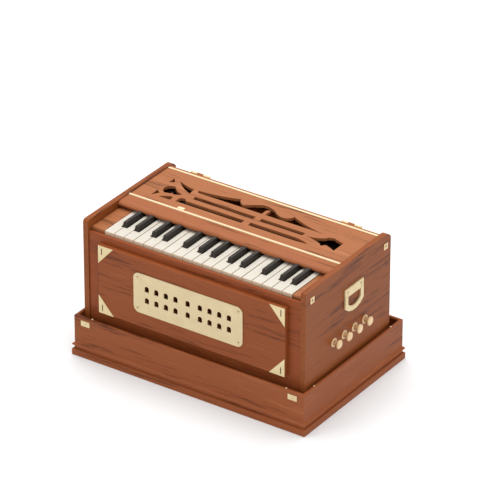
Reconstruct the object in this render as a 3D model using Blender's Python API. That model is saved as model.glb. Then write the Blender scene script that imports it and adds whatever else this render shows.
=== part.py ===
# Portable hand-pumped harmonium: moulded base tray, wooden case with a raised front board and
# sound grille, nineteen white and twelve black keys on rocking levers, fretwork lid, four stop
# knobs, folding carry handles and a rear pump.
# Lengths below are millimetres; the mesh builder turns them into metres.
# X runs along the keyboard, -Y is the player's side, +Z is up, z = 0 is the underside.

import math

import bmesh
import bpy
from mathutils import Matrix, Vector

MM = 0.001
GAP = 0.3

# base tray
PLINTH_X = 515.0
PLINTH_Y = 335.0
PLINTH_OUT = 4.1
TRAY_TOP = 83.5
TRAY_WALL = 5.5
LEDGE_TOP = 2.7
FLOOR_THICK = 6.0

# case
CASE_HALF_X = 243.0
CASE_FRONT = -144.9
CASE_REAR = 133.0
CASE_TOP = 278.4
SIDE_THICK = 11.0
FRONT_WALL_Y = -142.5
FRONT_WALL_THICK = 6.0
SLIP_TOP = 256.0
REAR_WALL_Y = 104.2
REAR_WALL_THICK = 8.8
REAR_HEAD_THICK = 12.0
REAR_HEAD_Z = 240.0
REAR_WALL_TOP = 265.7

# raised front board and its brass grille
BOARD_HALF_X = 205.0
BOARD_BOTTOM = 99.0
BOARD_TOP = 240.8
BOARD_THICK = 9.5
GRILLE_X = (-124.9, 114.3)
GRILLE_Z = (129.6, 211.6)
GRILLE_CORNER = 12.0
GRILLE_THICK = 1.6
HOLE_PITCH = 21.1
HOLE_MIDDLE_X = -5.2
HOLE_SIDE_STEP = 26.8
HOLE_ROWS = (158.8, 182.4)
HOLE_WIDE = 9.4
HOLE_TALL = 11.6

# keyboard
WHITE_COUNT = 19
WHITE_PITCH = 21.55
KEYS_LEFT = -202.4
KEY_SIDE_GAP = 0.35
WHITE_TOP = 262.4
HEAD_BOTTOM = 253.6
KEY_FRONT = -134.2
NOTCH_FRONT = -104.9
HEAD_REAR = -40.0
LEVER_BOTTOM = 246.0
LEVER_FRONT = -124.0
LEVER_WIDE = 11.0
LEVER_TAIL = 92.0
TAIL_SLOPE = 70.0
TAIL_TOP = 249.0
PALLET_FRONT = 56.0
PALLET_BOTTOM = 242.0
BLACK_PLACES = (1.05, 2.28, 4.03, 5.18, 7.23, 8.78, 10.05, 11.78, 13.06, 15.2, 17.0, 18.18)
BLACK_WIDE = 10.9
BLACK_CLEAR = 1.2
BLACK_FRONT = -103.6
BLACK_REAR = -52.3
BLACK_TOP = 271.9

# sounding chest under the levers
REED_TOP = 241.7
REED_THICK = 9.7
CHEST_FRONT = -72.0
CHEST_REAR = 103.8
CHEST_BOTTOM = 118.0
CHEST_WALL = 8.0
PORT_X = 60.0
PORT_Z = 175.0
PORT_RADIUS = 9.0

# fallboard and fretwork lid
LID_TOP = 276.4
LID_THICK = 5.5
LID_FRONT = -15.2
LID_REAR = 103.8
NOSE_DEEP = 10.0
NOSE_HIGH = 6.0
NOSE_Y = -41.6
FALL_REAR = -19.5
FALL_LEDGE = -9.0
HINGE_Y = 119.5
HINGE_Z = 274.5
HINGE_RADIUS = 3.0
HINGE_X = 167.0
HINGE_LONG = 42.0
KNUCKLE_LONG = 13.4

# stops on the right-hand side
STOP_FIRST_Y = -52.0
STOP_PITCH = 33.7
STOP_Z = 135.0
STOP_COUNT = 4
ROD_RADIUS = 3.5
ROD_HOLE = 3.9
COLLAR_RADIUS = 6.8
HEAD_RADIUS = 9.1
HEAD_STAND = 14.3

# carry handles
HANDLE_Y = 9.5
HANDLE_HALF = 30.0
HANDLE_TOP = 227.5
STRAP_BOTTOM = 214.0
TONGUE_BOTTOM = 210.4
BAIL_INNER = 20.7
BAIL_PIN_Z = 212.2
BAIL_THICK = 3.0

# rear pump
PUMP_HALF_X = 214.0
PUMP_BOTTOM = 90.0
PUMP_TOP = 236.0
PUMP_BOARD = 10.0
PUMP_BOARD_Y = 139.9
FOLD_HALF_X = 207.0
FOLD_COUNT = 5
FOLD_DEPTH = 9.0
FOLD_SKIN = 1.2


def clear_scene():
    for thing in list(bpy.data.objects):
        bpy.data.objects.remove(thing, do_unlink=True)


def make_material(name, colour, roughness, metallic):
    material = bpy.data.materials.new(name)
    material.use_nodes = True
    shader = material.node_tree.nodes["Principled BSDF"]
    shader.inputs["Base Color"].default_value = (*colour, 1.0)
    shader.inputs["Roughness"].default_value = roughness
    shader.inputs["Metallic"].default_value = metallic
    material.diffuse_color = (*colour, 1.0)
    return material


def add_part(name, mesh_bm, finish, pivot=(0, 0, 0), parent=None, smooth=False):
    """Turn a bmesh in world millimetres into an object whose origin is the pivot."""
    colour, roughness, metallic = finish
    bmesh.ops.recalc_face_normals(mesh_bm, faces=mesh_bm.faces)
    move = Matrix.Scale(MM, 4) @ Matrix.Translation(-Vector(pivot))
    bmesh.ops.transform(mesh_bm, matrix=move, verts=mesh_bm.verts)
    mesh = bpy.data.meshes.new(name)
    mesh_bm.to_mesh(mesh)
    mesh_bm.free()
    if smooth:
        mesh.shade_smooth()
        mesh.set_sharp_from_angle(angle=math.radians(35))
    part = bpy.data.objects.new(name, mesh)
    part.data.materials.append(make_material(name, colour, roughness, metallic))
    bpy.context.scene.collection.objects.link(part)
    part.location = Vector(pivot) * MM
    if parent is not None:
        part.parent = parent
        part.location -= parent.location
    return part


def add_pivot(name, place):
    pivot = bpy.data.objects.new(name, None)
    bpy.context.scene.collection.objects.link(pivot)
    pivot.location = Vector(place) * MM
    bpy.context.view_layer.update()
    return pivot


def cut_with(part, cutter_bm, operation="DIFFERENCE"):
    """Hang a Boolean on a part; its tool object is kept as a wire guide."""
    bmesh.ops.recalc_face_normals(cutter_bm, faces=cutter_bm.faces)
    bmesh.ops.scale(cutter_bm, vec=(MM, MM, MM), verts=cutter_bm.verts)
    mesh = bpy.data.meshes.new(part.name + "_tool")
    cutter_bm.to_mesh(mesh)
    cutter_bm.free()
    tool = bpy.data.objects.new(part.name + "_tool", mesh)
    bpy.context.scene.collection.objects.link(tool)
    tool.hide_render = True
    tool.display_type = "WIRE"
    boolean = part.modifiers.new("tool", "BOOLEAN")
    boolean.operation = operation
    boolean.solver = "EXACT"
    boolean.object = tool


def place(axis, u, v, depth):
    """A point from its two in-plane values and its depth along the named axis."""
    if axis == "X":
        return Vector((depth, u, v))
    if axis == "Y":
        return Vector((u, depth, v))
    return Vector((u, v, depth))


def plate(axis, low, high, outline, holes=()):
    """A flat board: an outline with holes, thick from low to high along an axis."""
    bm = bmesh.new()
    edges = []
    for loop in (outline, *holes):
        ring = [bm.verts.new(place(axis, u, v, low)) for u, v in loop]
        edges += [bm.edges.new((a, b)) for a, b in zip(ring, ring[1:] + ring[:1])]
    if holes:
        faces = bmesh.ops.triangle_fill(bm, edges=edges, use_beauty=True)["geom"]
        faces = [item for item in faces if isinstance(item, bmesh.types.BMFace)]
    else:
        faces = bmesh.ops.contextual_create(bm, geom=edges)["faces"]
    draw_out(bm, faces, place(axis, 0, 0, high - low))
    return bm


def block(x, y, z, round_by=0.0, segments=1):
    """A box from three (low, high) pairs, its edges eased by round_by."""
    outline = [(x[0], y[0]), (x[1], y[0]), (x[1], y[1]), (x[0], y[1])]
    bm = plate("Z", z[0], z[1], outline)
    if round_by:
        ease(bm, list(bm.edges), round_by, segments)
    return bm


def ease(bm, edges, width, segments=1):
    bmesh.ops.bevel(bm, geom=edges, offset=width, segments=segments, affect="EDGES",
                    profile=0.5, material=-1, clamp_overlap=True)


def edges_where(bm, test):
    """Edges whose two ends both pass the test."""
    return [edge for edge in bm.edges if all(test(vert.co) for vert in edge.verts)]


def draw_out(bm, faces, move):
    """Extrude a patch of faces along a vector; hands back the moved corners."""
    patch = list(faces) + list(dict.fromkeys(edge for face in faces for edge in face.edges))
    grown = bmesh.ops.extrude_face_region(bm, geom=patch)["geom"]
    moved = [item for item in grown if isinstance(item, bmesh.types.BMVert)]
    bmesh.ops.translate(bm, vec=move, verts=moved)
    bmesh.ops.recalc_face_normals(bm, faces=bm.faces)
    return moved


def circle(u, v, radius, count):
    step = 2 * math.pi / count
    return [(u + radius * math.cos(i * step), v + radius * math.sin(i * step)) for i in range(count)]


def arc_points(start, middle, end, count=5):
    """Points after start on the circular arc through three points, end included."""
    ax, ay = start
    bx, by = middle
    cx, cy = end
    cross = 2 * (ax * (by - cy) + bx * (cy - ay) + cx * (ay - by))
    if abs(cross) < 1e-6:
        return [end]
    sa = ax * ax + ay * ay
    sb = bx * bx + by * by
    sc = cx * cx + cy * cy
    ux = (sa * (by - cy) + sb * (cy - ay) + sc * (ay - by)) / cross
    uy = (sa * (cx - bx) + sb * (ax - cx) + sc * (bx - ax)) / cross
    radius = math.hypot(ax - ux, ay - uy)
    first = math.atan2(ay - uy, ax - ux)
    turn_middle = (math.atan2(by - uy, bx - ux) - first) % (2 * math.pi)
    turn = (math.atan2(cy - uy, cx - ux) - first) % (2 * math.pi)
    if turn_middle > turn:
        turn -= 2 * math.pi
    angles = [first + turn * (i + 1) / count for i in range(count)]
    return [(ux + radius * math.cos(a), uy + radius * math.sin(a)) for a in angles]


def trace(start, *steps):
    """An outline: each step is a corner, or a (middle, end) pair for an arc."""
    points = [start]
    for step in steps:
        if isinstance(step[0], tuple):
            points += arc_points(points[-1], step[0], step[1])
        else:
            points.append(step)
    return points


def turned(profile, centre_y, centre_z, count):
    """A solid of revolution about a line along X, from (x, radius) pairs."""
    bm = bmesh.new()
    line = [bm.verts.new((x, centre_y, centre_z + radius)) for x, radius in profile]
    edges = [bm.edges.new(pair) for pair in zip(line, line[1:])]
    bmesh.ops.spin(bm, geom=line + edges, cent=(0, centre_y, centre_z), axis=(1, 0, 0),
                   angle=2 * math.pi, steps=count, use_merge=True)
    bmesh.ops.remove_doubles(bm, verts=bm.verts, dist=0.001)
    return bm


def rod(low, high, radius, u, v, axis="X", count=12):
    return plate(axis, low, high, circle(u, v, radius, count))


def mitred_frame(profile, half_u, half_v, axis="Z", centre=(0, 0)):
    """A closed moulding carried round a rectangle; the profile is (outward, depth) pairs."""
    bm = bmesh.new()
    rings = []
    for side_u, side_v in ((-1, -1), (1, -1), (1, 1), (-1, 1)):
        ring = []
        for outward, depth in profile:
            u = centre[0] + side_u * (half_u + outward)
            v = centre[1] + side_v * (half_v + outward)
            ring.append(bm.verts.new(place(axis, u, v, depth)))
        rings.append(ring)
    count = len(profile)
    for here, there in zip(rings, rings[1:] + rings[:1]):
        for i in range(count):
            j = (i + 1) % count
            bm.faces.new((here[i], here[j], there[j], there[i]))
    return bm


# finishes: colour (linear), roughness, metallic
WALNUT = ((0.29, 0.095, 0.042), 0.42, 0.0)
WALNUT_TOP = ((0.36, 0.14, 0.07), 0.42, 0.0)
PALE_WOOD = ((0.55, 0.36, 0.19), 0.6, 0.0)
BRASS = ((0.72, 0.58, 0.36), 0.3, 0.9)
IVORY = ((0.84, 0.80, 0.71), 0.25, 0.0)
EBONY = ((0.045, 0.04, 0.035), 0.35, 0.0)
LEATHER = ((0.09, 0.035, 0.025), 0.75, 0.0)


def tray_profile():
    """Plinth, cove, drip bead, plain wall, eased rim and the ledge that the floor lies on."""
    return [(PLINTH_OUT, 0.0), (PLINTH_OUT, 11.2), (3.2, 12.6), (0.4, 13.4), (0.4, 18.8),
            (4.0, 20.6), (4.0, 21.8), (0.0, 26.0), (0.0, TRAY_TOP - 1.0), (-1.0, TRAY_TOP),
            (1.0 - TRAY_WALL, TRAY_TOP), (-TRAY_WALL, TRAY_TOP - 1.0), (-TRAY_WALL, LEDGE_TOP),
            (-TRAY_WALL - 8.0, LEDGE_TOP), (-TRAY_WALL - 8.0, 0.0)]


def build_base():
    wall_x = PLINTH_X / 2 - PLINTH_OUT
    wall_y = PLINTH_Y / 2 - PLINTH_OUT
    add_part("base_tray", mitred_frame(tray_profile(), wall_x, wall_y), WALNUT)
    inner_x = wall_x - TRAY_WALL - GAP
    inner_y = wall_y - TRAY_WALL - GAP
    floor_z = (LEDGE_TOP + GAP, LEDGE_TOP + GAP + FLOOR_THICK)
    floor = block((-inner_x, inner_x), (-inner_y, inner_y), floor_z)
    add_part("base_floor", floor, PALE_WOOD)
    return floor_z[1] + GAP


def side_outline(bottom):
    """Side panel seen from the right: small round at the front, long slope at the rear."""
    front_round = 6.0
    slope_y = 16.5
    slope_z = 10.5
    return trace((CASE_FRONT, bottom), (CASE_REAR, bottom), (CASE_REAR, CASE_TOP - slope_z),
                 ((CASE_REAR - 4.5, CASE_TOP - 4.6), (CASE_REAR - slope_y, CASE_TOP)),
                 (CASE_FRONT + front_round, CASE_TOP),
                 ((CASE_FRONT + 1.8, CASE_TOP - 1.8), (CASE_FRONT, CASE_TOP - front_round)))


def stop_places():
    return [STOP_FIRST_Y + STOP_PITCH * i for i in range(STOP_COUNT)]


def build_case(bottom):
    inner = CASE_HALF_X - SIDE_THICK
    rod_holes = [circle(y, STOP_Z, ROD_HOLE, 12) for y in stop_places()]
    left = plate("X", -CASE_HALF_X, -inner, side_outline(bottom))
    right = plate("X", inner, CASE_HALF_X, side_outline(bottom), rod_holes)
    add_part("left_side_panel", left, WALNUT)
    add_part("right_side_panel", right, WALNUT)

    half = inner - GAP
    wall = [(-half, bottom), (half, bottom), (half, SLIP_TOP), (-half, SLIP_TOP)]
    front_y = (FRONT_WALL_Y, FRONT_WALL_Y + FRONT_WALL_THICK)
    front = plate("Y", *front_y, wall, sound_slots())
    add_part("front_wall", front, WALNUT)

    build_rear_wall(bottom, half)
    return half


def build_rear_wall(bottom, half):
    """Rear wall with its thicker head for the lid hinges and the foot that carries the pump."""
    head_y = REAR_WALL_Y + REAR_HEAD_THICK
    wall_y = REAR_WALL_Y + REAR_WALL_THICK
    foot_y = PUMP_BOARD_Y - GAP
    section = [(REAR_WALL_Y, bottom), (wall_y, bottom), (wall_y, PUMP_BOTTOM - 4),
               (foot_y, PUMP_BOTTOM - 4), (foot_y, PUMP_BOTTOM + 8), (wall_y, PUMP_BOTTOM + 8),
               (wall_y, REAR_HEAD_Z), (head_y, REAR_HEAD_Z), (head_y, REAR_WALL_TOP),
               (REAR_WALL_Y, REAR_WALL_TOP)]
    wall = add_part("rear_wall", plate("X", -half, half, section), WALNUT)
    cut_with(wall, port_tools(REAR_WALL_Y - 5, wall_y + 5))


def port_tools(low, high):
    ports = bmesh.new()
    for x in (-PORT_X, PORT_X):
        piece = rod(low, high, PORT_RADIUS, x, PORT_Z, "Y", 16)
        mesh = bpy.data.meshes.new("port")
        piece.to_mesh(mesh)
        piece.free()
        ports.from_mesh(mesh)
        bpy.data.meshes.remove(mesh)
    return ports


def hole_columns():
    """Column centres of the grille: four, a lone middle one, four."""
    near = [HOLE_SIDE_STEP + HOLE_PITCH * i for i in range(4)]
    return [HOLE_MIDDLE_X - n for n in reversed(near)] + [HOLE_MIDDLE_X] + [HOLE_MIDDLE_X + n for n in near]


def sound_slots():
    """Upright slots behind the grille, one for each column of holes."""
    half = 6.2
    low = HOLE_ROWS[0] - 8.5
    high = HOLE_ROWS[1] + 8.5
    return [trace((x - half, low + half), ((x, low), (x + half, low + half)),
                  (x + half, high - half), ((x, high), (x - half, high - half)))
            for x in hole_columns()]


def rounded_rectangle(u, v, radius):
    """Outline of a rectangle from two (low, high) pairs, corners struck as arcs."""
    dip = radius * (1 - math.sqrt(0.5))
    return trace((u[0] + radius, v[0]), (u[1] - radius, v[0]),
                 ((u[1] - dip, v[0] + dip), (u[1], v[0] + radius)), (u[1], v[1] - radius),
                 ((u[1] - dip, v[1] - dip), (u[1] - radius, v[1])), (u[0] + radius, v[1]),
                 ((u[0] + dip, v[1] - dip), (u[0], v[1] - radius)), (u[0], v[0] + radius),
                 ((u[0] + dip, v[0] + dip), (u[0] + radius, v[0])))[:-1]


def grille_hole(x, z):
    """One arched hole: square foot, shouldered round head."""
    half = HOLE_WIDE / 2
    foot = z - HOLE_TALL / 2
    head = z + HOLE_TALL / 2
    return trace((x - half, foot), (x + half, foot), (x + half, head - 3.6),
                 ((x + 2.9, head - 0.7), (x, head)),
                 ((x - 2.9, head - 0.7), (x - half, head - 3.6)))


def build_front_board():
    back = FRONT_WALL_Y - GAP
    face = back - BOARD_THICK
    outline = [(-BOARD_HALF_X, BOARD_BOTTOM), (BOARD_HALF_X, BOARD_BOTTOM),
               (BOARD_HALF_X, BOARD_TOP), (-BOARD_HALF_X, BOARD_TOP)]
    board = plate("Y", face, back, outline, sound_slots())
    ease(board, edges_where(board, lambda p: abs(p.y - face) < 0.01
                            and (abs(abs(p.x) - BOARD_HALF_X) < 0.01
                                 or min(abs(p.z - BOARD_TOP), abs(p.z - BOARD_BOTTOM)) < 0.01)), 1.2)
    add_part("front_board", board, WALNUT)

    holes = [grille_hole(x, z) for x in hole_columns() for z in HOLE_ROWS]
    outline = rounded_rectangle(GRILLE_X, GRILLE_Z, GRILLE_CORNER)
    grille = plate("Y", face - GAP - GRILLE_THICK, face - GAP, outline, holes)
    add_part("grille_plate", grille, BRASS)


def build_chest(half):
    """Sounding chest: an open-topped wooden box, closed by the slotted reed board."""
    top = REED_TOP - REED_THICK - GAP
    box = block((-half, half), (CHEST_FRONT, CHEST_REAR), (CHEST_BOTTOM, top))
    lid_face = max(box.faces, key=lambda face: face.calc_center_median().z)
    bmesh.ops.inset_region(box, faces=[lid_face], thickness=CHEST_WALL, use_even_offset=True)
    draw_out(box, [lid_face], (0, 0, CHEST_BOTTOM + CHEST_WALL - top))
    chest = add_part("wind_chest", box, PALE_WOOD)
    tools = port_tools(CHEST_REAR - CHEST_WALL - 5, CHEST_REAR + 5)
    for y in stop_places():
        piece = rod(half - CHEST_WALL - 5, half + 5, ROD_HOLE, y, STOP_Z)
        mesh = bpy.data.meshes.new("rod_way")
        piece.to_mesh(mesh)
        piece.free()
        tools.from_mesh(mesh)
        bpy.data.meshes.remove(mesh)
    cut_with(chest, tools)

    slots = [[(x - 2.5, 63.0), (x + 2.5, 63.0), (x + 2.5, 85.0), (x - 2.5, 85.0)]
             for x in lever_centres()]
    outline = [(-half, CHEST_FRONT), (half, CHEST_FRONT), (half, CHEST_REAR), (-half, CHEST_REAR)]
    board = plate("Z", REED_TOP - REED_THICK, REED_TOP, outline, slots)
    add_part("reed_board", board, PALE_WOOD)

    crest = LEVER_BOTTOM - GAP
    foot = REED_TOP + GAP
    section = [(-8.0, foot), (8.0, foot), (8.0, foot + 1.4), (1.5, crest), (-1.5, crest),
               (-8.0, foot + 1.4)]
    rail = plate("X", -half, half, section)
    add_part("balance_rail", rail, PALE_WOOD)

    rest = block((-half, half), (-102.0, -90.0), (226.0, 240.1), 1.0)
    add_part("key_rest_rail", rest, PALE_WOOD)


def build_key_blocks(half):
    """Wooden cheeks that close the keybed at each end."""
    right_end = KEYS_LEFT + WHITE_COUNT * WHITE_PITCH
    depth = (KEY_FRONT, FALL_LEDGE)
    height = (REED_TOP + GAP, WHITE_TOP - 0.4)
    add_part("left_key_block", block((-half, KEYS_LEFT - 0.5), depth, height, 0.8), WALNUT_TOP)
    add_part("right_key_block", block((right_end + 0.5, half), depth, height, 0.8), WALNUT_TOP)


def white_span(index):
    """Left and right edge of a white key's full-width front."""
    left = KEYS_LEFT + index * WHITE_PITCH
    return left + KEY_SIDE_GAP, left + WHITE_PITCH - KEY_SIDE_GAP


def shank_span(index):
    """Edges of the narrower part that runs back between the black keys."""
    left, right = white_span(index)
    reach = BLACK_WIDE / 2 + BLACK_CLEAR
    for spot in BLACK_PLACES:
        centre = KEYS_LEFT + spot * WHITE_PITCH
        if centre - reach < left < centre + reach:
            left = centre + reach
        if centre - reach < right < centre + reach:
            right = centre - reach
    return left, right


def lever_span(low, high):
    wide = min(LEVER_WIDE, high - low - 0.8)
    middle = (low + high) / 2
    return middle - wide / 2, middle + wide / 2


def black_centre(spot):
    return KEYS_LEFT + spot * WHITE_PITCH


def lever_centres():
    whites = [sum(shank_span(i)) / 2 for i in range(WHITE_COUNT)]
    return sorted(whites + [black_centre(spot) for spot in BLACK_PLACES])


def lever_bm(span, head_y, toe_y, step_y=None):
    """A key's side view, carried across its lever: rocking bar, tail pallet and head block.

    head_y is where the head starts and ends, toe_y where the lever starts; step_y splits the
    head where a white key narrows.
    """
    bm = bmesh.new()
    x = span[0]

    def points(*pairs):
        return [bm.verts.new((x, y, z)) for y, z in pairs]

    front, back = head_y
    splits = [front, step_y, back] if step_y else [front, back]
    top = points(*[(y, WHITE_TOP) for y in splits])
    low = points(*[(y, HEAD_BOTTOM) for y in splits])
    toe = points((toe_y, HEAD_BOTTOM)) if toe_y > front else []
    rest = points((TAIL_SLOPE, HEAD_BOTTOM), (LEVER_TAIL, TAIL_TOP), (LEVER_TAIL, PALLET_BOTTOM),
                  (PALLET_FRONT, PALLET_BOTTOM), (PALLET_FRONT, LEVER_BOTTOM),
                  (toe_y, LEVER_BOTTOM))
    bm.faces.new([low[0]] + toe + [low[1], top[1], top[0]])
    if step_y:
        bm.faces.new([low[1], low[2], top[2], top[1]])
    bm.faces.new((toe or low[:1]) + low[1:] + rest)
    draw_out(bm, list(bm.faces), (span[1] - span[0], 0, 0))
    return bm


def widen(bm, side, start_x, width, y_from, y_to):
    """Draw the head's side faces between two y values outwards by width."""
    chosen = []
    for face in bm.faces:
        middle = face.calc_center_median()
        if face.normal.x * side > 0.9 and abs(middle.x - start_x) < 0.01:
            if y_from < middle.y < y_to and middle.z > HEAD_BOTTOM:
                chosen.append(face)
    draw_out(bm, chosen, (side * width, 0, 0))


def white_key(index):
    full = white_span(index)
    shank = shank_span(index)
    span = lever_span(*shank)
    bm = lever_bm(span, (KEY_FRONT, HEAD_REAR), LEVER_FRONT, NOTCH_FRONT)
    for side, lever_x, shank_x, full_x in ((-1, span[0], shank[0], full[0]),
                                           (1, span[1], shank[1], full[1])):
        widen(bm, side, lever_x, abs(shank_x - lever_x), KEY_FRONT, HEAD_REAR)
        if abs(full_x - shank_x) > 0.05:
            widen(bm, side, shank_x, abs(full_x - shank_x), KEY_FRONT, NOTCH_FRONT)
    rim = edges_where(bm, lambda p: abs(p.z - WHITE_TOP) < 0.01)
    rim = [edge for edge in rim if edge.calc_face_angle(0) > 0.5]
    ease(bm, rim, 0.7)
    return bm, sum(span) / 2


def black_key(spot):
    centre = black_centre(spot)
    half = BLACK_WIDE / 2
    span = (centre - half + 1.0, centre + half - 1.0)
    bm = lever_bm(span, (BLACK_FRONT, BLACK_REAR), BLACK_FRONT)
    for side, lever_x in ((-1, span[0]), (1, span[1])):
        widen(bm, side, lever_x, 1.0, BLACK_FRONT, BLACK_REAR)
    shoulders = ((265.0, 0.86, 1.2), (BLACK_TOP, 0.84, 1.5))
    for height, squeeze, lean in shoulders:
        tops = [face for face in bm.faces if face.normal.z > 0.9]
        cap = max(tops, key=lambda face: face.calc_center_median().z)
        level = cap.calc_center_median().z
        caps = [face for face in tops if abs(face.calc_center_median().z - level) < 0.01]
        for vert in draw_out(bm, caps, (0, 0, height - level)):
            vert.co.x = centre + (vert.co.x - centre) * squeeze
            if vert.co.y < (BLACK_FRONT + BLACK_REAR) / 2:
                vert.co.y += lean
    rim = edges_where(bm, lambda p: abs(p.z - BLACK_TOP) < 0.01)
    rim = [edge for edge in rim if edge.calc_face_angle(0) > 0.5]
    ease(bm, rim, 0.8)
    return bm, centre


def build_keys():
    for index in range(WHITE_COUNT):
        bm, middle = white_key(index)
        add_part(f"white_key_{index + 1:02d}", bm, IVORY, (middle, 0, LEVER_BOTTOM))
    for number, spot in enumerate(BLACK_PLACES, 1):
        bm, middle = black_key(spot)
        add_part(f"black_key_{number:02d}", bm, EBONY, (middle, 0, LEVER_BOTTOM))


def build_fallboard(half):
    """Rounded rail over the keys' middles, with the ledge that the lid's front edge lies on."""
    bottom = LID_TOP - 2 * NOSE_HIGH
    middle = LID_TOP - NOSE_HIGH
    nose = []
    for i in range(13):
        turn = math.pi / 2 + math.pi * i / 12
        nose.append((NOSE_Y + NOSE_DEEP * math.cos(turn), middle + NOSE_HIGH * math.sin(turn)))
    section = nose + [(FALL_LEDGE, bottom), (FALL_LEDGE, LID_TOP - LID_THICK - GAP),
                      (FALL_REAR, LID_TOP - LID_THICK - GAP), (FALL_REAR, LID_TOP)]
    add_part("fallboard", plate("X", -half, half, section), WALNUT_TOP, smooth=True)


def fret_holes():
    """The lid's fretwork, seen from above: leaves and spurs, sound slots and a long vine."""
    rear_spur = [(-197.5, 79.0), (-197.0, 60.5), (-187.5, 67.0)]
    front_spur = trace((-198.3, 26.7), ((-193.6, 21.8), (-188.3, 19.6)), ((-192.0, 12.0), (-197.5, 4.6)))
    rear_leaf = trace((-182.5, 76.7), ((-162.0, 67.6), (-142.5, 64.5)), (-140.5, 46.5),
                      ((-163.5, 58.5), (-182.5, 76.7)))[:-1]
    round_leaf = trace((-149.0, 35.5), ((-165.5, 42.4), (-177.5, 54.2)),
                       ((-192.3, 40.0), (-181.7, 24.2)), (-170.5, 27.0), (-167.5, 31.5),
                       (-165.0, 27.0), ((-156.0, 30.0), (-149.0, 35.5)))[:-1]
    petal = trace((-182.5, 5.8), (-157.0, 7.2), (-158.0, 18.5), (-161.7, 19.2),
                  ((-173.0, 14.2), (-182.5, 5.8)))[:-1]
    fan_slot = trace((0.0, 8.4), (0.0, 19.6), (-130.5, 19.6), ((-134.0, 24.2), (-140.0, 25.6)),
                     ((-144.4, 22.8), (-146.0, 17.0)), (-146.0, 8.4))
    left_slot = [(-123.4, 32.5), (9.2, 32.5), (10.2, 42.5), (-125.0, 42.5)]
    right_slot = [(22.5, 32.5), (117.5, 32.5), (117.5, 42.5), (22.5, 42.5)]
    tail_slot = trace((14.6, 8.6), (110.0, 8.6), ((128.0, 9.2), (144.0, 11.5)),
                      ((128.0, 16.8), (111.0, 19.6)), (14.2, 19.6))
    vine = trace((-129.5, 57.5), (11.8, 57.5), (11.8, 73.0), (19.0, 76.5), (19.0, 57.5),
                 (145.0, 58.4), ((104.0, 67.2), (67.5, 81.7)), ((64.4, 73.4), (57.0, 68.6)),
                 ((47.0, 68.0), (35.0, 73.0)), ((15.0, 85.0), (-3.0, 87.0)),
                 ((-21.0, 75.8), (-34.0, 66.0)), ((-44.0, 71.5), (-50.0, 82.5)),
                 ((-90.0, 70.6), (-133.3, 65.0)))
    arrow = trace((125.0, 35.0), ((143.0, 30.9), (158.5, 26.0)), (165.5, 19.6), (171.7, 26.7),
                  ((184.4, 22.4), (195.0, 16.7)), (195.0, 49.4), (178.3, 53.3), (171.7, 56.5),
                  (161.0, 52.4), (158.0, 46.7), ((143.0, 38.8), (125.0, 35.0)))[:-1]
    return [rear_spur, front_spur, rear_leaf, round_leaf, petal, fan_slot, left_slot, right_slot,
            tail_slot, vine, arrow]


def build_lid(half):
    hinge_line = (0, HINGE_Y, HINGE_Z)
    pivot = add_pivot("lid_pivot", hinge_line)
    side = half - 0.4
    outline = [(-side, LID_FRONT), (side, LID_FRONT), (side, LID_REAR), (-side, LID_REAR)]
    panel = plate("Z", LID_TOP - LID_THICK, LID_TOP, outline, fret_holes())
    add_part("fret_lid", panel, WALNUT_TOP, hinge_line, pivot)

    rear_face = REAR_WALL_Y + REAR_HEAD_THICK
    rail = block((-side, side), (LID_REAR + GAP, rear_face), (REAR_WALL_TOP + GAP, LID_TOP), 0.8)
    rail = add_part("lid_rear_rail", rail, WALNUT_TOP, hinge_line, pivot)
    knuckles = bmesh.new()
    for x in (-HINGE_X, HINGE_X):
        add_knuckle(knuckles, x, rear_face)
    cut_with(rail, knuckles, "UNION")
    holes = bmesh.new()
    for x in (-HINGE_X, HINGE_X):
        join_into(holes, rod(x - KNUCKLE_LONG, x + KNUCKLE_LONG, 1.5, HINGE_Y, HINGE_Z))
    cut_with(rail, holes)

    for name, x in (("lid_hinge_left", -HINGE_X), ("lid_hinge_right", HINGE_X)):
        build_hinge(name, x, rear_face + GAP)


def join_into(target, piece):
    mesh = bpy.data.meshes.new("piece")
    piece.to_mesh(mesh)
    piece.free()
    target.from_mesh(mesh)
    bpy.data.meshes.remove(mesh)


def hinge_section(face_y, leaf_z):
    """Leaf and rolled knuckle in one outline, seen along the pin."""
    leaf = 1.2
    turns = [math.radians(a) for a in range(180, 180 - 301, -30)]
    roll = [(HINGE_Y + HINGE_RADIUS * math.cos(t), HINGE_Z + HINGE_RADIUS * math.sin(t)) for t in turns]
    return roll + [(face_y + leaf, HINGE_Z - 2.4), (face_y + leaf, leaf_z), (face_y, leaf_z)]


def add_knuckle(target, x, face_y):
    """The lid's own middle knuckle, its leaf let into the rail's rear edge."""
    half = KNUCKLE_LONG / 2
    join_into(target, plate("X", x - half, x + half, hinge_section(face_y - 1.0, REAR_WALL_TOP + 3)))


def build_hinge(name, x, face_y):
    """Fixed half of a lid hinge: leaf screwed to the case, two outer knuckles and the pin."""
    half = HINGE_LONG / 2
    inner = KNUCKLE_LONG / 2 + GAP
    leaf = block((x - half, x + half), (face_y, face_y + 1.2), (246.0, REAR_WALL_TOP - 0.4))
    hinge = add_part(name, leaf, BRASS)
    rolls = bmesh.new()
    for low, high in ((x - half, x - inner), (x + inner, x + half)):
        join_into(rolls, plate("X", low, high, hinge_section(face_y, REAR_WALL_TOP - 6)))
    cut_with(hinge, rolls, "UNION")
    cut_with(hinge, rod(x - inner - 2, x + inner + 2, 1.1, HINGE_Y, HINGE_Z), "UNION")


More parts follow.
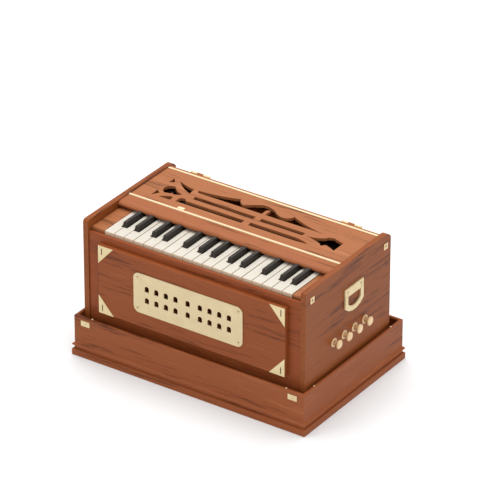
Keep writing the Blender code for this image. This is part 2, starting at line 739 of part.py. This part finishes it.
def build_stops(half):
    """Turned knobs on rods; the collar inside the chest is the pull's end stop."""
    face = CASE_HALF_X
    r = ROD_RADIUS
    collar = (199.0, 203.0)
    head = face + HEAD_STAND
    profile = [(collar[0] - 9.0, 0.0), (collar[0] - 9.0, r), (collar[0], r), (collar[0], COLLAR_RADIUS),
               (collar[1], COLLAR_RADIUS), (collar[1], r), (head - 8.3, r), (head - 6.4, 4.4),
               (head - 5.2, 6.8), (head - 4.2, 8.6), (head - 3.0, HEAD_RADIUS), (head - 1.6, 8.8),
               (head - 0.5, 7.2), (head, 4.8), (head - 0.4, 3.0), (head - 0.6, 0.0)]
    for number, y in enumerate(stop_places(), 1):
        knob = turned(profile, y, STOP_Z, 14)
        add_part(f"stop_knob_{number}", knob, BRASS, (face, y, STOP_Z), smooth=True)


def build_handle(side, word):
    """A screwed strap with a pin, and the bail that hangs from it."""
    inner_face = side * (CASE_HALF_X + GAP)
    outer_face = inner_face + side * BAIL_THICK
    low, high = sorted((inner_face, outer_face))
    pin_x = (low + high) / 2
    left = HANDLE_Y - HANDLE_HALF
    right = HANDLE_Y + HANDLE_HALF
    tongue = BAIL_INNER - 0.5
    outline = [(left, STRAP_BOTTOM), (HANDLE_Y - tongue, STRAP_BOTTOM), (HANDLE_Y - tongue, TONGUE_BOTTOM),
               (HANDLE_Y + tongue, TONGUE_BOTTOM), (HANDLE_Y + tongue, STRAP_BOTTOM),
               (right, STRAP_BOTTOM), (right, HANDLE_TOP), (left, HANDLE_TOP)]
    strap = plate("X", low, high, outline)
    ease(strap, edges_where(strap, lambda p: abs(p.x - outer_face) < 0.01), 0.5)
    strap = add_part("handle_strap_" + word, strap, BRASS)
    pin_end = BAIL_INNER + 5.5
    pin = rod(HANDLE_Y - pin_end, HANDLE_Y + pin_end, 0.9, pin_x, BAIL_PIN_Z, "Y", 10)
    cut_with(strap, pin, "UNION")

    ear = BAIL_PIN_Z + BAIL_THICK / 2
    outline = trace((left, ear), (left, 188.0), ((HANDLE_Y, 176.0), (right, 188.0)), (right, ear),
                    (HANDLE_Y + BAIL_INNER, ear), (HANDLE_Y + BAIL_INNER, 195.0),
                    ((HANDLE_Y, 185.6), (HANDLE_Y - BAIL_INNER, 195.0)), (HANDLE_Y - BAIL_INNER, ear))
    bail = plate("X", low, high, outline)
    ends = edges_where(bail, lambda p: abs(p.z - ear) < 0.01)
    ends = [edge for edge in ends if abs(edge.verts[0].co.x - edge.verts[1].co.x) < 0.01]
    ease(bail, ends, BAIL_THICK / 2 - 0.01, 3)
    bail = add_part("handle_bail_" + word, bail, BRASS, (pin_x, HANDLE_Y, BAIL_PIN_Z))
    ways = bmesh.new()
    for end in (-1, 1):
        near = HANDLE_Y + end * (BAIL_INNER - 1.0)
        far = HANDLE_Y + end * (pin_end + 0.5)
        join_into(ways, rod(*sorted((near, far)), 1.25, pin_x, BAIL_PIN_Z, "Y", 10))
    cut_with(bail, ways)


def build_pump():
    """Rear pump: pleated skin on the rear wall and the hand board hinged at its foot."""
    holes = [circle(x, 168.0, 6.0, 12) for x in (-75, -45, -15, 15, 45, 75)]
    outline = rounded_rectangle((-PUMP_HALF_X, PUMP_HALF_X), (PUMP_BOTTOM, PUMP_TOP), 8.0)
    board = plate("Y", PUMP_BOARD_Y, PUMP_BOARD_Y + PUMP_BOARD, outline, holes)
    add_part("pump_board", board, WALNUT, (0, PUMP_BOARD_Y, PUMP_BOTTOM))

    near = REAR_WALL_Y + REAR_WALL_THICK + GAP
    far = PUMP_BOARD_Y - GAP
    step = (far - near) / (2 * FOLD_COUNT)
    outer = [(-FOLD_DEPTH * (i % 2), near + step * i) for i in range(2 * FOLD_COUNT + 1)]
    inner = [(out - FOLD_SKIN * 2, depth) for out, depth in reversed(outer)]
    low = PUMP_BOTTOM + 8 + GAP
    high = PUMP_TOP - 6
    folds = mitred_frame(outer + inner, FOLD_HALF_X, (high - low) / 2, "Y", (0, (low + high) / 2))
    add_part("pump_folds", folds, LEATHER)


def main():
    clear_scene()
    bottom = build_base()
    half = build_case(bottom)
    build_front_board()
    build_chest(half)
    build_key_blocks(half)
    build_keys()
    build_fallboard(half)
    build_lid(half)
    build_stops(half)
    build_handle(1, "right")
    build_handle(-1, "left")
    build_pump()


main()
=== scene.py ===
import math
import bmesh
import bpy
from mathutils import Matrix, Vector


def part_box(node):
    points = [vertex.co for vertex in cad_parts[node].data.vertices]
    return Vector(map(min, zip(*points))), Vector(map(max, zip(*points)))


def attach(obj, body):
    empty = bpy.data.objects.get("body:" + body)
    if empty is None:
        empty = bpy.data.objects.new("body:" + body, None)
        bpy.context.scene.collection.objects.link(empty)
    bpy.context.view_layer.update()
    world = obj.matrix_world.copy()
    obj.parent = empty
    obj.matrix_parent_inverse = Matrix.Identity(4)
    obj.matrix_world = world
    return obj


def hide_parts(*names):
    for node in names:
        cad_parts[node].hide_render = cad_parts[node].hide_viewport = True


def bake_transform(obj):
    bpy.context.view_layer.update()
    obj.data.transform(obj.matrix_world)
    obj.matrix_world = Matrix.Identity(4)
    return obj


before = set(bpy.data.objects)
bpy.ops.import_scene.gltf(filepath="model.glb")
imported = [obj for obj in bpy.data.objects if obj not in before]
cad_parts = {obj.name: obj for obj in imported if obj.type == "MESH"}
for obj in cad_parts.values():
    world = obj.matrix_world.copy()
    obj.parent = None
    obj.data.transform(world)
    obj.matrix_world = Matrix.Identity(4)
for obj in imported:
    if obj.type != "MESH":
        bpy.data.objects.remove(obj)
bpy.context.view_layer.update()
scene = bpy.context.scene
mm = 0.001  # the trim below is written in millimetres
print("frame loaded")

# camera at the photograph's angle, far off with a long lens
cameraSet = {
    "lens": 319.58,
    "sensor": 36,
    "clip": 40,
    "azimuth": 34.429,
    "elevation": 29.266,
    "distance": 7.80726,
    "aim": (-0.03254, 0.05249, 0.21008),
}
turn = math.radians(cameraSet["azimuth"])
rise = math.radians(cameraSet["elevation"])
away = Vector((math.sin(turn) * math.cos(rise), -math.cos(turn) * math.cos(rise), math.sin(rise)))
lens = bpy.data.cameras.new("camera")
lens.lens = cameraSet["lens"]
lens.sensor_width = cameraSet["sensor"]
lens.clip_end = cameraSet["clip"]
camera = bpy.data.objects.new("camera", lens)
scene.collection.objects.link(camera)
camera.location = Vector(cameraSet["aim"]) + away * cameraSet["distance"]
camera.rotation_euler = (-away).to_track_quat("-Z", "Y").to_euler()
bpy.context.scene.camera = camera


# one output of a shader node; an expression written with wires adds its Math nodes
class Wire:
    def __init__(self, tree, socket):
        self.tree = tree
        self.socket = socket

    def maths(self, operation, first, second=0.0):
        node = self.tree.nodes.new("ShaderNodeMath")
        node.operation = operation
        plug(self.tree, node.inputs[0], first)
        plug(self.tree, node.inputs[1], second)
        return Wire(self.tree, node.outputs[0])

    def __add__(self, other):
        return self.maths("ADD", self, other)

    def __radd__(self, other):
        return self.maths("ADD", other, self)

    def __sub__(self, other):
        return self.maths("SUBTRACT", self, other)

    def __rsub__(self, other):
        return self.maths("SUBTRACT", other, self)

    def __mul__(self, other):
        return self.maths("MULTIPLY", self, other)

    def __rmul__(self, other):
        return self.maths("MULTIPLY", other, self)

    def __lt__(self, other):
        return self.maths("LESS_THAN", self, other)

    def __gt__(self, other):
        return self.maths("GREATER_THAN", self, other)

    def __abs__(self):
        return self.maths("ABSOLUTE", self)


# links a wire to a socket, or sets its value; a colour gets its fourth number here
def plug(tree, socket, value):
    if isinstance(value, Wire):
        tree.links.new(value.socket, socket)
    elif hasattr(socket.default_value, "__len__") and len(socket.default_value) == 4:
        socket.default_value = (*value, 1.0)
    else:
        socket.default_value = value


# a material with the nodes that lead to its shader
class Finish:
    def __init__(self, name):
        self.material = bpy.data.materials.new(name)
        self.material.use_nodes = True
        self.tree = self.material.node_tree
        self.shader = self.tree.nodes["Principled BSDF"]

    def node(self, kind, settings=None, values=None, output=0):
        node = self.tree.nodes.new(kind)
        for key, value in (settings or {}).items():
            if key == "stops":
                ramp = node.color_ramp
                while len(ramp.elements) < len(value):
                    ramp.elements.new(0.5)
                for element, (place, colour) in zip(ramp.elements, value):
                    element.position = place
                    element.color = (*colour, 1.0)
            else:
                setattr(node, key, value)
        for key, value in (values or {}).items():
            plug(self.tree, node.inputs[key], value)
        return Wire(self.tree, node.outputs[output])

    # X, Y and Z of the Object or the Normal coordinates
    def axes(self, kind):
        spot = self.node("ShaderNodeTexCoord", output=kind)
        first = self.node("ShaderNodeSeparateXYZ", None, {0: spot})
        return [Wire(self.tree, socket) for socket in first.socket.node.outputs]

    def place(self, scale=(1, 1, 1), turn=(0, 0, 0)):
        spot = self.node("ShaderNodeTexCoord", output="Object")
        return self.node("ShaderNodeMapping", None, {"Vector": spot, "Scale": scale, "Rotation": turn})

    def noise(self, spot, scale, detail=4.0, distortion=0.0, rough=0.5):
        values = {"Vector": spot, "Scale": scale, "Detail": detail, "Distortion": distortion}
        return self.node("ShaderNodeTexNoise", None, {**values, "Roughness": rough})

    def ramp(self, factor, stops):
        return self.node("ShaderNodeValToRGB", {"stops": stops}, {0: factor})

    # sockets of a colour mix: 0 is the factor, 6 and 7 are the colours, output 2 the mixed one
    def blend(self, factor, first, second):
        values = {0: factor, 6: first, 7: second}
        return self.node("ShaderNodeMix", {"data_type": "RGBA"}, values, output=2)

    def bump(self, height, strength, distance):
        values = {"Height": height, "Strength": strength, "Distance": distance}
        self.set("Normal", self.node("ShaderNodeBump", None, values))

    def set(self, name, value):
        plug(self.tree, self.shader.inputs[name], value)


# screen colour such as #8a4420 to the linear one that shaders take
def linear(code):
    parts = [int(code[i:i + 2], 16) / 255 for i in (1, 3, 5)]
    return tuple(p / 12.92 if p < 0.0404 else ((p + 0.055) / 1.055) ** 2.4 for p in parts)


# varnished wood: long wavy grain with thin dark streaks, fine pores and slow colour drift
grain = {
    "across": 24.0,
    "along": 1.5,
    "thinner": 3.4,  # how much closer the thin streaks lie
    "broad": (1.9, 5.0, 1.3, 0.58),  # scale, detail, distortion and roughness of a noise
    "thin": (2.4, 5.0, 0.9, 0.6),
    "tilts": (0.02, 0.03),  # how far the grain leans from its board, first and second direction
    "lean": 0.6,
    "poreScale": 30.0,
    "poreDetail": 3.0,
    "drift": (6.0, 2.0),
    "shares": (0.8, 0.14, 0.06),  # of grain, drift and pores in the colour
    "stops": (0.39, 0.465, 0.55, 0.64),  # dark, base, base and light
    "mitre": 0.09,  # half the tray's length less half its depth, in metres
    "roughness": 0.37,
    "roughGrain": 0.18,
    "specular": 0.18,
    "bump": (0.06, 0.0004),
}


def grainField(look, along, tilt):
    stretch = [grain["across"]] * 3
    stretch["XYZ".index(along)] = grain["along"]
    closer = [s * grain["thinner"] for s in stretch]
    lean = (tilt, tilt * grain["lean"], tilt)
    broad = look.noise(look.place(stretch, lean), *grain["broad"])
    thin = look.noise(look.place(closer, lean), *grain["thin"])
    return broad * 0.5 + thin * 0.5


def wood(name, dark, base, light, along):
    look = Finish(name)
    field = grainField(look, along[0], grain["tilts"][0])
    if len(along) > 1:  # a frame of four boards, mitred at its corners
        x, y, _ = look.axes("Object")
        side = abs(x) - abs(y) > grain["mitre"]
        other = grainField(look, along[1], grain["tilts"][1])
        field = other * side + field * (1.0 - side)
    pores = look.noise(look.place([grain["poreScale"]] * 3), grain["poreScale"], grain["poreDetail"])
    drift = look.noise(look.place(), *grain["drift"])
    grainShare, driftShare, poreShare = grain["shares"]
    streak = field * grainShare + drift * driftShare + pores * poreShare
    colours = (linear(dark), linear(base), linear(base), linear(light))
    look.set("Base Color", look.ramp(streak, list(zip(grain["stops"], colours))))
    look.set("Roughness", field * grain["roughGrain"] + grain["roughness"])
    look.set("Specular IOR Level", grain["specular"])
    look.bump(field, *grain["bump"])
    return look.material


# soft brushed brass with faint clouds
brushed = {
    "cloud": (60.0, 5.0, 0.4),
    "scratch": (900.0, 60.0, 60.0),
    "scratchNoise": (3.0, 3.0),
    "metallic": 0.4,
    "roughCloud": 0.16,
    "roughScratch": 0.08,
    "bump": (0.03, 0.0002),
}


def brass(name, dark, light, roughness):
    look = Finish(name)
    cloud = look.noise(look.place(), *brushed["cloud"])
    scratch = look.noise(look.place(brushed["scratch"]), *brushed["scratchNoise"])
    look.set("Base Color", look.blend(cloud, linear(dark), linear(light)))
    look.set("Metallic", brushed["metallic"])
    look.set("Roughness", cloud * brushed["roughCloud"] + scratch * brushed["roughScratch"] + roughness)
    look.bump(scratch, *brushed["bump"])
    return look.material


# painted or lacquered strips; the dark one is painted shade for screw slots
lacquer = {
    "cloud": (38.0, 4.0),
    "grain": (40.0, 900.0, 900.0),
    "grainNoise": (1.0, 3.0),
    "roughCloud": 0.1,
    "specular": 0.3,
    "bump": (0.015, 0.0002),
}


def gloss(name, base, tint, roughness, coat):
    look = Finish(name)
    cloud = look.noise(look.place(), *lacquer["cloud"])
    fibre = look.noise(look.place(lacquer["grain"]), *lacquer["grainNoise"])
    look.set("Base Color", look.blend(cloud, linear(base), linear(tint)))
    look.set("Roughness", cloud * lacquer["roughCloud"] + roughness)
    look.set("Coat Weight", coat)
    look.set("Specular IOR Level", lacquer["specular"])
    look.bump(fibre, *lacquer["bump"])
    return look.material


# a key: glossy head, tan front on the white ones, its lever behind and underside below in a wood darkened
# to near black as painted shade, and its sides darker as painted shade
keyParts = {
    "cloud": (45.0, 4.0),
    "frontY": -0.1339,  # metres: the heads' front faces lie before this
    "leverY": -0.0404,  # and the bare lever behind this
    "lowZ": 0.2534,  # or below this
    "flank": 0.35,  # square of a normal's X part, past which it is a key's side
    "roughCloud": 0.1,
    "roughLever": 0.4,
    "specular": 0.3,
    "bump": (0.02, 0.0002),
}


def keyLook(name, base, tint, front, shadedLever, flank, roughness):
    look = Finish(name)
    cloud = look.noise(look.place(), *keyParts["cloud"])
    _, depth, height = look.axes("Object")
    sideways = look.axes("Normal")[0]
    isFront = depth < keyParts["frontY"]
    isLever = depth > keyParts["leverY"]
    isLow = height < keyParts["lowZ"]
    # the lever behind and the underside below take a wood colour far darker than their own, as painted
    # shade
    shadedPart = isLever.maths("MAXIMUM", isLever, isLow)
    # the keys' sides take a darker colour than the heads, as painted shade
    isShadedFlank = sideways * sideways > keyParts["flank"]
    head = look.blend(cloud, linear(base), linear(tint))
    shown = look.blend(isShadedFlank, look.blend(isFront, head, linear(front)), linear(flank))
    look.set("Base Color", look.blend(shadedPart, shown, linear(shadedLever)))
    look.set("Roughness", cloud * keyParts["roughCloud"] + shadedPart * keyParts["roughLever"] + roughness)
    look.set("Specular IOR Level", keyParts["specular"])
    look.bump(cloud, *keyParts["bump"])
    return look.material


# thin pump leather with small pebbled cells
hide = {"cloud": (55.0, 5.0), "cells": 900.0, "roughCloud": 0.2, "roughness": 0.6, "bump": (0.25, 0.0003)}


def leather(name, base, tint):
    look = Finish(name)
    cloud = look.noise(look.place(), *hide["cloud"])
    cell = look.node("ShaderNodeTexVoronoi", None, {"Vector": look.place(), "Scale": hide["cells"]})
    look.set("Base Color", look.blend(cloud, linear(base), linear(tint)))
    look.set("Roughness", cloud * hide["roughCloud"] + hide["roughness"])
    look.bump(cell, *hide["bump"])
    return look.material


# colours of each wood, from its dark streaks to its light ones, and which way its boards run
tones = {
    "caseX": ("#5c2b0f", "#8a4420", "#98532c", "X"),
    "boardX": ("#5a290d", "#8a4722", "#985630", "X"),
    "sideY": ("#592a0e", "#884820", "#98572e", "Y"),
    "tray": ("#5e2d12", "#8f4c27", "#9d5b35", "XY"),
    # the lid and key blocks, and the fallboard below, take the case wood made lighter, as painted light
    # from above
    "topX": ("#6b3f22", "#9f623c", "#ae7450", "X"),
    "fallX": ("#6b3b1e", "#9a5a36", "#a96a44", "X"),
    "innerX": ("#5c3a1e", "#7a5230", "#8f6540", "X"),
}
finishes = {name: wood(name + "Wood", *code) for name, code in tones.items()}
finishes["brass"] = brass("softBrass", "#cdb684", "#e6d3a9", 0.26)
finishes["grille"] = brass("grilleBrass", "#c9b48b", "#dfcba3", 0.32)
finishes["knob"] = brass("knobBrass", "#d0a878", "#f2d6ab", 0.16)
# the fifth colour of a key is its lever and underside, darkened as painted shade, and the sixth is its
# sides, darker as painted shade
finishes["white"] = keyLook("creamKeys", "#c6bfb2", "#d0cabe", "#d3bba1", "#2c190f", "#a8957e", 0.23)
finishes["black"] = keyLook("ebonyKeys", "#28221d", "#342d27", "#28221d", "#23140c", "#1d1814", 0.37)
finishes["cream"] = gloss("creamStrip", "#dcc096", "#ecd8b2", 0.35, 0.1)
# a near-black finish for the screw slots, as painted shade
finishes["dark"] = gloss("paintedSlotShade", "#2a1d15", "#3a281d", 0.65, 0.0)
finishes["skin"] = leather("foldedSkin", "#4a2017", "#6b3226")
print("finishes made")

# every carried-over node gets its finish
groups = {
    "caseX": ["front_wall", "rear_wall", "pump_board"],
    "boardX": ["front_board"],
    "sideY": ["left_side_panel", "right_side_panel"],
    "tray": ["base_tray"],
    # these upward-facing parts take the lighter wood, as painted light from above
    "topX": ["fret_lid", "lid_rear_rail", "left_key_block", "right_key_block"],
    "fallX": ["fallboard"],
    "innerX": ["base_floor", "reed_board", "wind_chest", "balance_rail", "key_rest_rail"],
    "grille": ["grille_plate"],
    "brass": ["lid_hinge_left", "lid_hinge_right", "handle_strap_left", "handle_strap_right",
              "handle_bail_left", "handle_bail_right"],
    "skin": ["pump_folds"],
}
rows = {"white": "white_key", "black": "black_key", "knob": "stop_knob"}
for finish, start in rows.items():
    groups[finish] = [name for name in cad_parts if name.startswith(start)]
for finish, names in groups.items():
    for name in names:
        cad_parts[name].data.materials.clear()
        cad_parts[name].data.materials.append(finishes[finish])


sharpAngle = math.radians(38)


# a shape in millimetres becomes an object in metres with its finish
def makeObject(name, bm, finish, smooth=False):
    bmesh.ops.scale(bm, vec=(mm, mm, mm), verts=bm.verts)
    mesh = bpy.data.meshes.new(name)
    bm.to_mesh(mesh)
    bm.free()
    if smooth:
        mesh.shade_smooth()
        mesh.set_sharp_from_angle(angle=sharpAngle)
    mesh.materials.append(finishes[finish])
    made = bpy.data.objects.new(name, mesh)
    scene.collection.objects.link(made)
    return made


def addPiece(name, bm, finish, body, smooth=False):
    bmesh.ops.recalc_face_normals(bm, faces=bm.faces)
    piece = makeObject(name, bm, finish, smooth)
    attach(piece, body)


# a box from its lowest to its highest corner, with eased edges
def addBox(bm, low, high, ease=0.0):
    made = bmesh.ops.create_cube(bm, size=1.0)["verts"]
    size = [b - a for a, b in zip(low, high)]
    middle = [(a + b) / 2 for a, b in zip(low, high)]
    bmesh.ops.scale(bm, vec=size, verts=made)
    bmesh.ops.translate(bm, vec=middle, verts=made)
    if ease:
        edges = list({e for v in made for e in v.link_edges})
        bmesh.ops.bevel(bm, geom=edges, offset=ease, affect="EDGES", segments=2, profile=0.5, material=-1)


# a low tapered head with its flat top inset, standing on a face that points the way of facing
screwHead = {"height": 0.9, "sides": 20, "taper": 0.62, "rim": 0.18, "turn": 0.5}


def addScrew(bm, place, facing, radius, height=screwHead["height"]):
    turnTo = Vector((0, 0, 1)).rotation_difference(Vector(facing)).to_matrix().to_4x4()
    move = Matrix.Translation(place) @ turnTo @ Matrix.Rotation(screwHead["turn"], 4, "Z")
    disc = bmesh.ops.create_cone(bm, cap_ends=True, segments=screwHead["sides"], radius1=radius,
                                 radius2=radius * screwHead["taper"], depth=height)["verts"]
    bmesh.ops.translate(bm, vec=(0, 0, height / 2), verts=disc)
    faces = {f for v in disc for f in v.link_faces}
    top = max(faces, key=lambda f: f.calc_center_median().z)
    bmesh.ops.inset_region(bm, faces=[top], thickness=radius * screwHead["rim"])
    whole = list(set(top.verts) | set(disc))
    bmesh.ops.transform(bm, matrix=move, verts=whole)


# triangular brass corner plates of the front board, each with a dark strip of painted shade for its screw
# slot
corners = {
    "across": 33.0,
    "tall": 37.0,
    "edge": 0.8,
    "gap": 0.05,
    "thick": 0.9,
    "slotIn": (8.0, 11.0),
    "slotHalf": (0.8, 6.5),
    "slotProud": 0.35,
}
boardLow, boardHigh = (Vector(c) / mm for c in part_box("front_board"))
bm = bmesh.new()
marks = bmesh.new()
for sx in (-1, 1):
    for sz in (-1, 1):
        x = (boardHigh.x if sx > 0 else boardLow.x) - sx * corners["edge"]
        z = (boardHigh.z if sz > 0 else boardLow.z) - sz * corners["edge"]
        points = [(x, z), (x - sx * corners["across"], z), (x, z - sz * corners["tall"])]
        flat = bm.faces.new([bm.verts.new((px, boardLow.y - corners["gap"], pz)) for px, pz in points])
        grown = bmesh.ops.extrude_face_region(bm, geom=[flat])["geom"]
        moved = [g for g in grown if isinstance(g, bmesh.types.BMVert)]
        bmesh.ops.translate(bm, vec=(0, -corners["thick"], 0), verts=moved)
        front = boardLow.y - corners["thick"]
        slotX = x - sx * corners["slotIn"][0]
        slotZ = z - sz * corners["slotIn"][1]
        halfX, halfZ = corners["slotHalf"]
        addBox(marks, (slotX - halfX, front - corners["slotProud"], slotZ - halfZ),
               (slotX + halfX, front + corners["gap"], slotZ + halfZ))
addPiece("cornerPlates", bm, "brass", "case")
addPiece("cornerSlots", marks, "dark", "case")

# small screws at the grille's corners
grille = {"inset": 9.0, "radius": 1.7}
grilleLow, grilleHigh = (Vector(c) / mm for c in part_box("grille_plate"))
bm = bmesh.new()
for x in (grilleLow.x + grille["inset"], grilleHigh.x - grille["inset"]):
    for z in (grilleLow.z + grille["inset"], grilleHigh.z - grille["inset"]):
        addScrew(bm, (x, grilleLow.y, z), (0, -1, 0), grille["radius"])
addPiece("grilleScrews", bm, "knob", "case", True)

# cream strips on the lid: the beads before and behind the fretwork, and the small tab
lidLow, lidHigh = (Vector(c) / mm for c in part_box("fret_lid"))
strips = {
    "frontBead": {"x": (lidLow.x, lidHigh.x), "y": (-19.2, -14.6), "z": (-5.2, 1.9), "ease": 0.7},
    "rearBead": {"x": (lidLow.x, lidHigh.x), "y": (105.6, 110.2), "z": (-0.6, 0.8), "ease": 0.4},
    "lidTab": {"x": (-127.0, -113.0), "y": (-13.5, -6.0), "z": (-0.3, 1.9), "ease": 0.8},
}
for name, strip in strips.items():
    bm = bmesh.new()
    low, high = zip(strip["x"], strip["y"], [lidHigh.z + z for z in strip["z"]])
    addBox(bm, low, high, strip["ease"])
    addPiece(name, bm, "cream", "lid", True)

# brass plates on the tray's front, with a screw each
trayPlate = {
    "x": 228.5,
    "z": 70.7,
    "wide": 19.5,
    "high": 11.0,
    "thick": 1.0,
    "sunk": 0.2,
    "ease": 0.35,
    "faceY": -163.4,
    "screwIn": 1.5,
    "screw": (2.1, 0.8),
}
bm = bmesh.new()
frontY = trayPlate["faceY"] - trayPlate["thick"]
for side in (-1, 1):
    x = side * trayPlate["x"]
    addBox(bm, (x - trayPlate["wide"] / 2, frontY, trayPlate["z"] - trayPlate["high"] / 2),
           (x + trayPlate["wide"] / 2, trayPlate["faceY"] + trayPlate["sunk"],
            trayPlate["z"] + trayPlate["high"] / 2), trayPlate["ease"])
    addScrew(bm, (x + trayPlate["screwIn"], frontY, trayPlate["z"]), (0, -1, 0), *trayPlate["screw"])
addPiece("trayPlates", bm, "brass", "case")

# square brass plates with a stud on the side panels
sideX = 243.0
square = {"places": ((-124.0, 257.0), (116.0, 255.0)), "half": 6.2, "thick": 0.9, "sunk": 0.1, "ease": 0.3,
          "stud": (2.6, 1.0)}
bm = bmesh.new()
for side in (-1, 1):
    for y, z in square["places"]:
        outer = side * (sideX + square["thick"])
        low, high = sorted((side * (sideX - square["sunk"]), outer))
        addBox(bm, (low, y - square["half"], z - square["half"]),
               (high, y + square["half"], z + square["half"]), square["ease"])
        addScrew(bm, (outer, y, z), (side, 0, 0), *square["stud"])
addPiece("sidePlates", bm, "knob", "case", True)

# rosette rings under the stop knobs: a profile of (proud of the side, radius), turned about each rod
rosette = {
    "count": 4,
    "firstY": -52.0,
    "pitch": 33.7,
    "z": 135.0,
    "steps": 40,
    "merge": 0.001,
    "profile": ((0.05, 4.8), (0.05, 9.0), (0.9, 9.0), (2.0, 7.4), (1.4, 6.4), (2.0, 5.6), (1.4, 4.8)),
}
bm = bmesh.new()
for number in range(rosette["count"]):
    y = rosette["firstY"] + rosette["pitch"] * number
    verts = [bm.verts.new((sideX + out, y, rosette["z"] + radius)) for out, radius in rosette["profile"]]
    edges = [bm.edges.new((a, b)) for a, b in zip(verts, verts[1:] + verts[:1])]
    bmesh.ops.spin(bm, geom=verts + edges, cent=(0, y, rosette["z"]), axis=(1, 0, 0), angle=2 * math.pi,
                   steps=rosette["steps"], use_merge=True)
    bmesh.ops.remove_doubles(bm, verts=bm.verts, dist=rosette["merge"])
addPiece("stopRosettes", bm, "knob", "case", True)

# screws of the handle straps
strapScrews = {"x": 246.3, "y": (-12.5, 31.5), "z": 220.8, "radius": 3.0, "height": 1.0}
bm = bmesh.new()
for side in (-1, 1):
    for y in strapScrews["y"]:
        addScrew(bm, (side * strapScrews["x"], y, strapScrews["z"]), (side, 0, 0), strapScrews["radius"],
                 strapScrews["height"])
addPiece("handleScrews", bm, "knob", "case", True)

# small brass eyes as plain blocks along the tray's rim, two at the front and two on each side
eyes = {
    "places": ((-214.0, -160.6), (214.0, -160.6), (-250.6, -127.0), (250.6, -127.0), (-250.6, 126.0),
               (250.6, 126.0)),
    "half": (1.6, 1.3),
    "z": (83.3, 85.4),
    "ease": 0.5,
}
bm = bmesh.new()
halfX, halfY = eyes["half"]
for x, y in eyes["places"]:
    addBox(bm, (x - halfX, y - halfY, eyes["z"][0]), (x + halfX, y + halfY, eyes["z"][1]), eyes["ease"])
addPiece("rimEyes", bm, "knob", "case", True)

# folded leather skin between the rear wall and the pump board; the real one opens like a fan, this shape
# stays fixed
skin = {
    "halfX": 207.0,
    "midZ": 164.15,
    "halfZ": 65.85,
    "nearY": 113.4,
    "farY": 139.5,
    "folds": 5,
    "deep": 8.0,
    "thick": 1.2,
}
bm = bmesh.new()
ring = [bm.verts.new((sx * skin["halfX"], skin["nearY"], skin["midZ"] + sz * skin["halfZ"]))
        for sx, sz in ((-1, -1), (1, -1), (1, 1), (-1, 1))]
edges = [bm.edges.new(pair) for pair in zip(ring, ring[1:] + ring[:1])]
stepY = (skin["farY"] - skin["nearY"]) / (2 * skin["folds"])
for number in range(2 * skin["folds"]):
    grown = bmesh.ops.extrude_edge_only(bm, edges=edges)["geom"]
    ring = [g for g in grown if isinstance(g, bmesh.types.BMVert)]
    edges = [g for g in grown if isinstance(g, bmesh.types.BMEdge) and all(v in ring for v in g.verts)]
    outward = skin["deep"] if number % 2 else -skin["deep"]
    for vert in ring:
        moveX = outward * math.copysign(1, vert.co.x)
        moveZ = outward * math.copysign(1, vert.co.z - skin["midZ"])
        vert.co += Vector((moveX, stepY, moveZ))
bmesh.ops.recalc_face_normals(bm, faces=bm.faces)
bmesh.ops.solidify(bm, geom=bm.faces, thickness=skin["thick"])
piece = makeObject("pumpSkin", bm, "skin")
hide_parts("pump_folds")
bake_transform(piece)
print("trim made")

# pale floor, a hair below the object
ground = {"half": 6.0, "z": -0.0004, "colour": (0.84, 0.855, 0.86), "roughness": 0.9}
bm = bmesh.new()
bmesh.ops.create_grid(bm, x_segments=1, y_segments=1, size=ground["half"])
mesh = bpy.data.meshes.new("floor")
bm.to_mesh(mesh)
bm.free()
floor = bpy.data.objects.new("floor", mesh)
floorLook = Finish("paleFloor")
floorLook.set("Base Color", ground["colour"])
floorLook.set("Roughness", ground["roughness"])
floor.data.materials.append(floorLook.material)
scene.collection.objects.link(floor)
floor.location.z = ground["z"]

# even white light from all round, and three soft lamps aimed at the case
studio = {"colour": (1.0, 1.0, 1.0, 1.0), "strength": 0.74, "lampAim": (0, 0, 0.15)}
world = bpy.data.worlds.new("studio")
scene.world = world
world.use_nodes = True
world.node_tree.nodes["Background"].inputs["Color"].default_value = studio["colour"]
world.node_tree.nodes["Background"].inputs["Strength"].default_value = studio["strength"]
scene.view_settings.view_transform = "Standard"

lamps = {
    "left": {"place": (-2.2, -2.4, 2.4), "size": 2.4, "power": 17.0},
    "right": {"place": (3.0, -1.8, 2.2), "size": 2.4, "power": 19.0},
    "top": {"place": (-0.2, 0.5, 3.4), "size": 2.6, "power": 92.0},
}
for name, lampSet in lamps.items():
    data = bpy.data.lights.new(name, "AREA")
    data.size = lampSet["size"]
    data.energy = lampSet["power"]
    lamp = bpy.data.objects.new(name, data)
    scene.collection.objects.link(lamp)
    lamp.location = lampSet["place"]
    lamp.rotation_euler = (Vector(studio["lampAim"]) - lamp.location).to_track_quat("-Z", "Y").to_euler()
print("light set")
